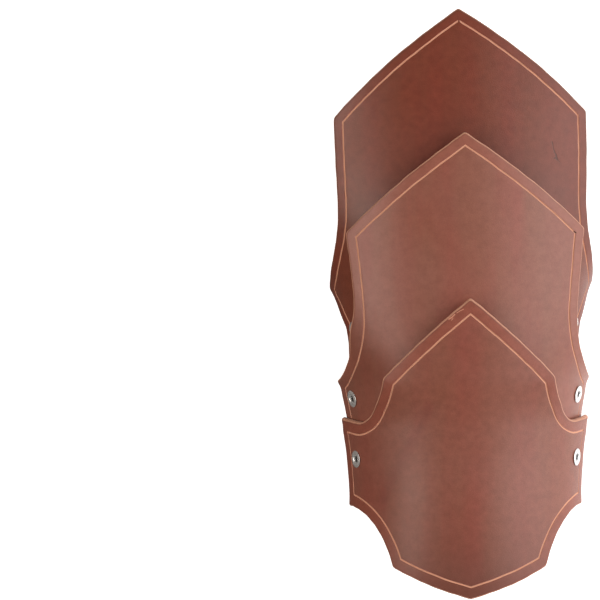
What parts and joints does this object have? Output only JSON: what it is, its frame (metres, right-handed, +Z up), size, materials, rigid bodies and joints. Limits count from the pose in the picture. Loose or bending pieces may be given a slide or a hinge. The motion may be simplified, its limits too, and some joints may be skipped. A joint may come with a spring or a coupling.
{
  "type": "leather forearm bracer",
  "caption": "Leather forearm bracer of overlapping shield-shaped plates with a carved line inside each border and metal lacing eyelets along both sides.",
  "frame": {"origin": "centre of the bounding box, on the surface that the bracer lies on", "axes": "+X across the arm, towards the wearer's side with the right-hand eyelets in the picture; +Y along the arm, towards the elbow; +Z up, out of the convex side"},
  "size_m": [0.1312, 0.287, 0.0639],
  "materials": {
    "leather": "smooth, dull sheen, reddish brown with pale cut edges and a pale carved line",
    "eyelet_metal": "polished"
  },
  "bodies": {
    "root": {"upper_plate": "leather", "middle_plate": "leather", "lower_plate": "leather", "upper_eyelet_left": "eyelet_metal", "upper_eyelet_right": "eyelet_metal", "middle_eyelet_left": "eyelet_metal", "middle_eyelet_right": "eyelet_metal", "lower_eyelet_left": "eyelet_metal", "lower_eyelet_right": "eyelet_metal"}
  },
  "joints": []
}
